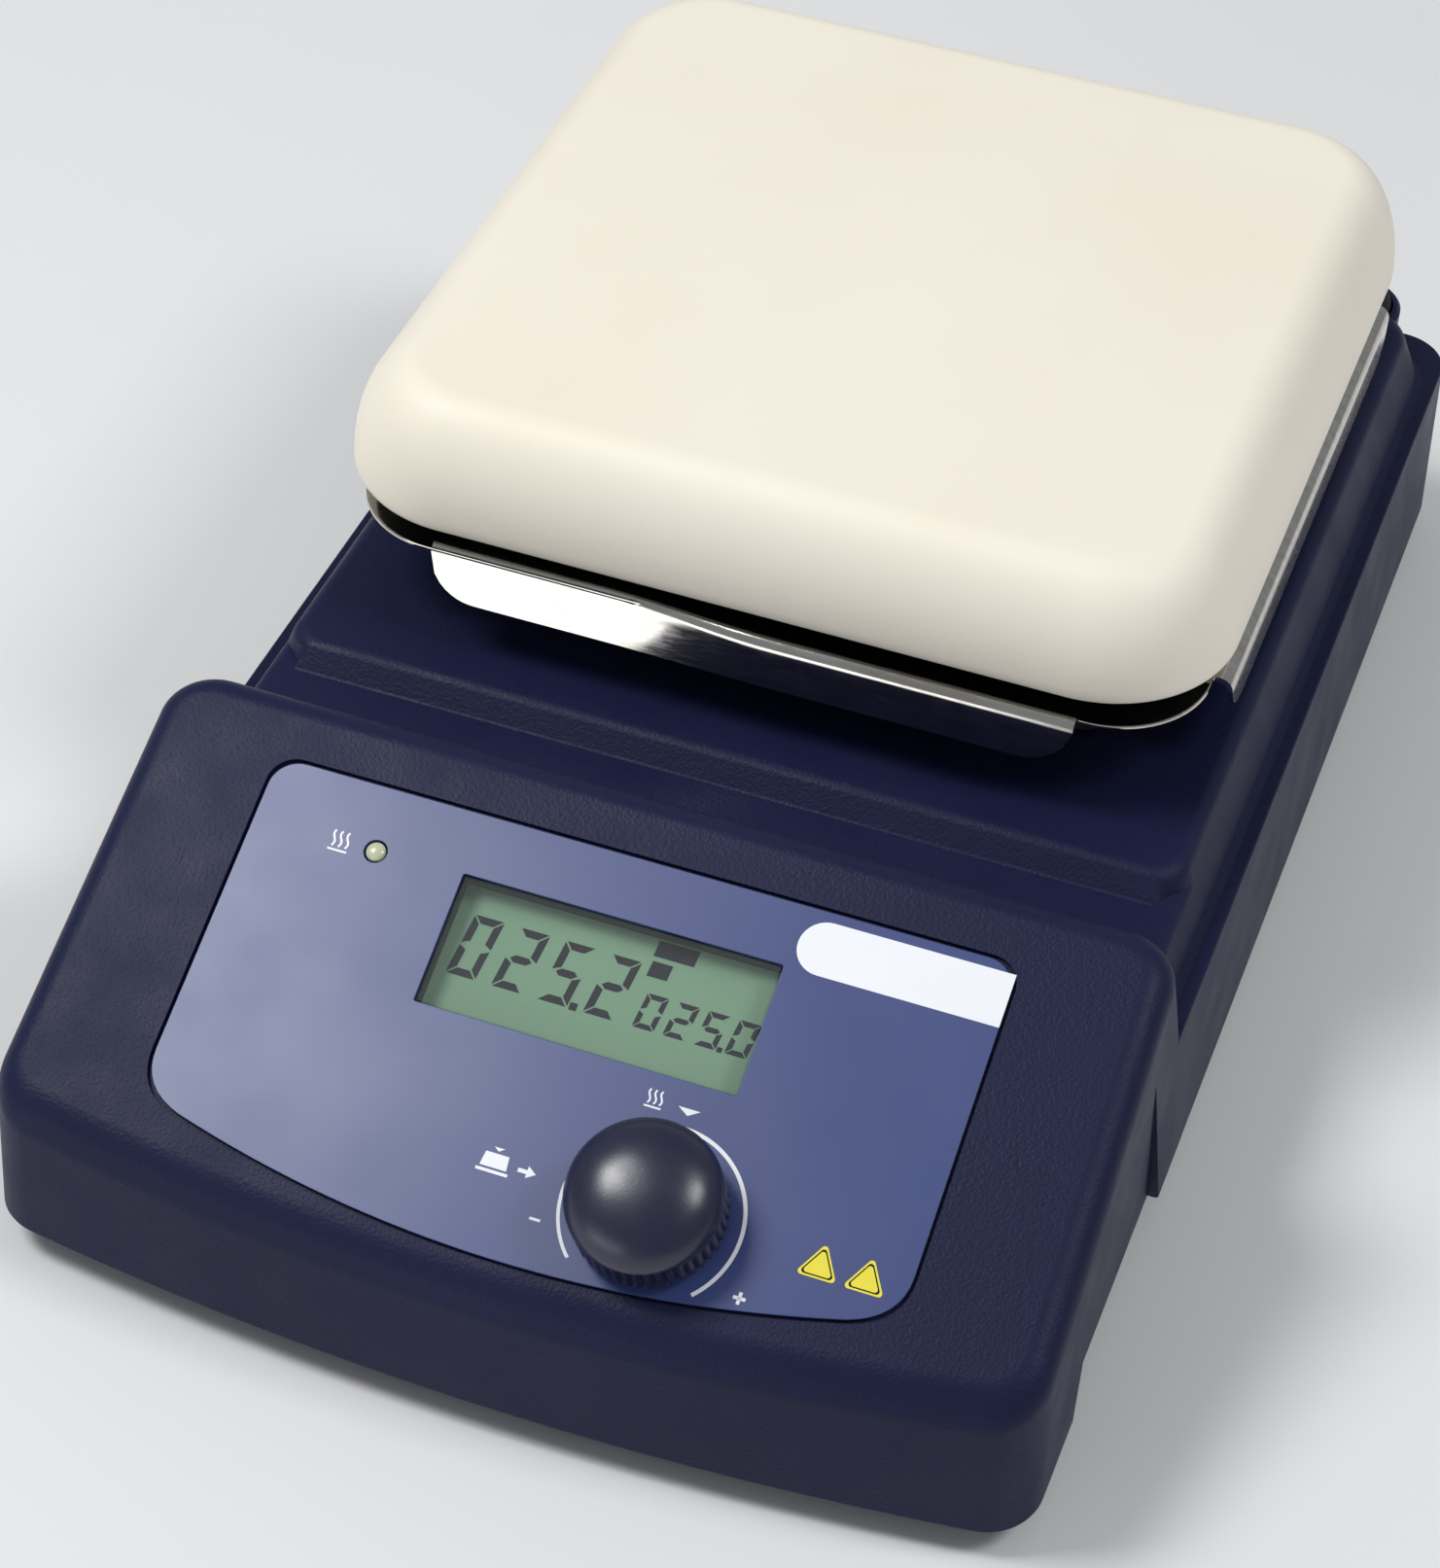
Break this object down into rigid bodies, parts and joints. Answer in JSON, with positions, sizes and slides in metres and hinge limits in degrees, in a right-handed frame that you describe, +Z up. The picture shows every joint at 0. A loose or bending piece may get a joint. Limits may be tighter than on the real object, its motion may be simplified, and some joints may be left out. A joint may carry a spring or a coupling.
{
  "type": "laboratory hotplate",
  "caption": "Benchtop laboratory hotplate: square ceramic-coated plate on posts over a low moulded housing, sloping console with display and push-and-turn heat knob.",
  "frame": {"origin": "on the bench, under the middle of the overall bounding box", "axes": "+X to the operator's right, +Y to the rear, +Z up; the console faces -Y"},
  "size_m": [0.16, 0.2616, 0.0892],
  "materials": {
    "aluminium": "extruded",
    "black_plastic": "moulded black",
    "board": "glass-epoxy circuit board",
    "brass": "bare",
    "cable": "flat ribbon cable",
    "ceramic": "cast aluminium under a satin white ceramic coat",
    "fuse_glass": "glass cartridge fuse",
    "housing": "moulded, fine texture, dark navy",
    "knob": "moulded dark navy",
    "lcd": "liquid crystal cell in its frame",
    "lead": "glass-braid sleeve",
    "lens": "milky lamp lens",
    "mica": "mica-clad resistance element",
    "overlay": "printed polyester film",
    "rubber": "matt black",
    "stainless": "polished stainless sheet",
    "steel_dark": "zinc-plated sheet, darkened",
    "winding": "varnished copper winding on its core",
    "window": "clear acrylic",
    "wool": "mineral wool pad",
    "zinc": "zinc plated"
  },
  "bodies": {
    "housing": {"base_plate": "steel_dark", "control_board": "board", "control_overlay": "overlay", "deck_screw_front_left": "zinc", "deck_screw_front_right": "zinc", "deck_screw_rear_left": "zinc", "deck_screw_rear_right": "zinc", "display_window": "window", "element_clamp_plate": "steel_dark", "element_lead_left": "lead", "element_lead_right": "lead", "encoder_body": "zinc", "encoder_nut": "zinc", "filter_capacitor": "black_plastic", "foot_front_left": "rubber", "foot_front_right": "rubber", "foot_rear_left": "rubber", "foot_rear_right": "rubber", "foot_screw_front_left": "zinc", "foot_screw_front_right": "zinc", "foot_screw_rear_left": "zinc", "foot_screw_rear_right": "zinc", "heat_lamp": "lens", "heat_shield": "stainless", "heat_sink": "aluminium", "heating_element": "mica", "hot_plate": "ceramic", "housing_top": "housing", "inlet_pin_earth": "brass", "inlet_pin_line": "brass", "inlet_pin_neutral": "brass", "insulation_pad": "wool", "insulation_pan": "steel_dark", "lcd_module": "lcd", "mains_inlet": "black_plastic", "plate_sensor": "zinc", "post_nut_front_left": "zinc", "post_nut_front_right": "zinc", "post_nut_rear_left": "zinc", "post_nut_rear_right": "zinc", "power_board": "board", "probe_socket": "zinc", "relay": "black_plastic", "ribbon_cable": "cable", "rocker_frame": "black_plastic", "rod_socket": "brass", "support_post_front_left": "zinc", "support_post_front_right": "zinc", "support_post_rear_left": "zinc", "support_post_rear_right": "zinc", "terminal_block": "black_plastic", "transformer": "winding", "triac": "black_plastic"},
    "plunger": {"switch_plunger": "black_plastic"},
    "knob": {"heat_knob": "knob", "encoder_shaft": "zinc"},
    "rocker": {"rocker_button": "black_plastic"},
    "fuse_holder": {"fuse_drawer": "black_plastic", "fuse_link": "fuse_glass"},
    "socket_cap": {"rod_cap": "rubber"}
  },
  "joints": [
    {"name": "knob_push", "type": "slide", "parent": "housing", "child": "plunger", "axis": [0, 0.4191, -0.9079], "range_m": [0, 0.0008], "stiffness_N_per_m": 3000},
    {"name": "knob_turn", "type": "hinge", "parent": "plunger", "child": "knob", "pos_m": [0.0195, -0.11299, 0.03544], "axis": [0, -0.4191, 0.9079], "continuous": true},
    {"name": "power_rocker", "type": "hinge", "parent": "housing", "child": "rocker", "pos_m": [0.006, 0.1266, 0.021], "axis": [1, 0, 0], "range_deg": [0, 12]},
    {"name": "fuse_drawer_slide", "type": "slide", "parent": "housing", "child": "fuse_holder", "axis": [0, 1, 0], "range_m": [0, 0.018]},
    {"name": "rod_cap_lift", "type": "slide", "parent": "housing", "child": "socket_cap", "axis": [0, 0, 1], "range_m": [0, 0.012]}
  ]
}
